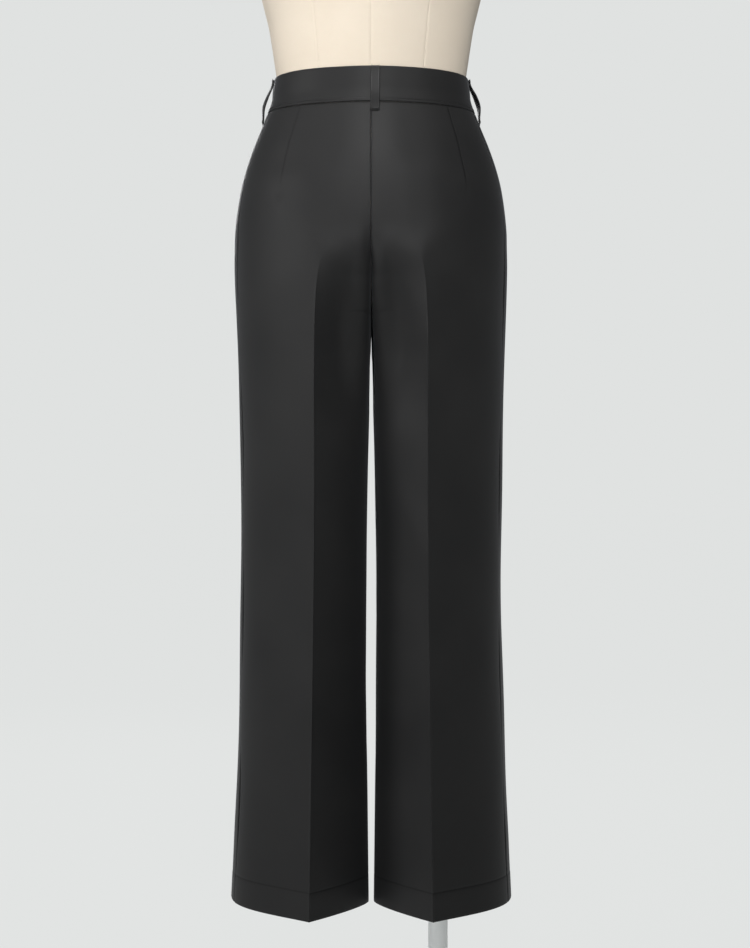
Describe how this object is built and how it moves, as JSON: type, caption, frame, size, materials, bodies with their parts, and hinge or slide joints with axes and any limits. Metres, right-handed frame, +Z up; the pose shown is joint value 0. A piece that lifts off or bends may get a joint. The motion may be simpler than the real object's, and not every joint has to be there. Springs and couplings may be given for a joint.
{
  "type": "palazzo pants on a dress form",
  "caption": "High-waisted wide-leg trousers with pressed creases and a belt-looped waistband, worn by a limbless dress form on a floor stand.",
  "frame": {"origin": "on the floor, at the middle of the stand's round base", "axes": "+Z up, -Y the way the garment faces, +X the wearer's left"},
  "size_m": [0.4, 0.4, 1.7053],
  "materials": {
    "cloth": "smooth matte suiting",
    "button": "satin",
    "canvas": "plain stretched canvas",
    "form_trim": "canvas-covered plate",
    "stand_metal": "matte paint"
  },
  "bodies": {
    "root": {"back_panel_left": "cloth", "back_panel_right": "cloth", "front_panel_left": "cloth", "front_panel_right": "cloth", "waistband_back": "cloth", "waistband_front_left": "cloth", "waistband_front_right": "cloth", "belt_loop_back": "cloth", "belt_loop_side_left": "cloth", "belt_loop_side_right": "cloth", "belt_loop_front_left": "cloth", "belt_loop_front_right": "cloth", "waist_button": "button", "form_torso": "canvas", "form_neck_cap": "form_trim", "form_arm_plate_left": "form_trim", "form_arm_plate_right": "form_trim", "stand_pole": "stand_metal", "stand_collar": "stand_metal", "stand_base": "stand_metal"}
  },
  "joints": []
}
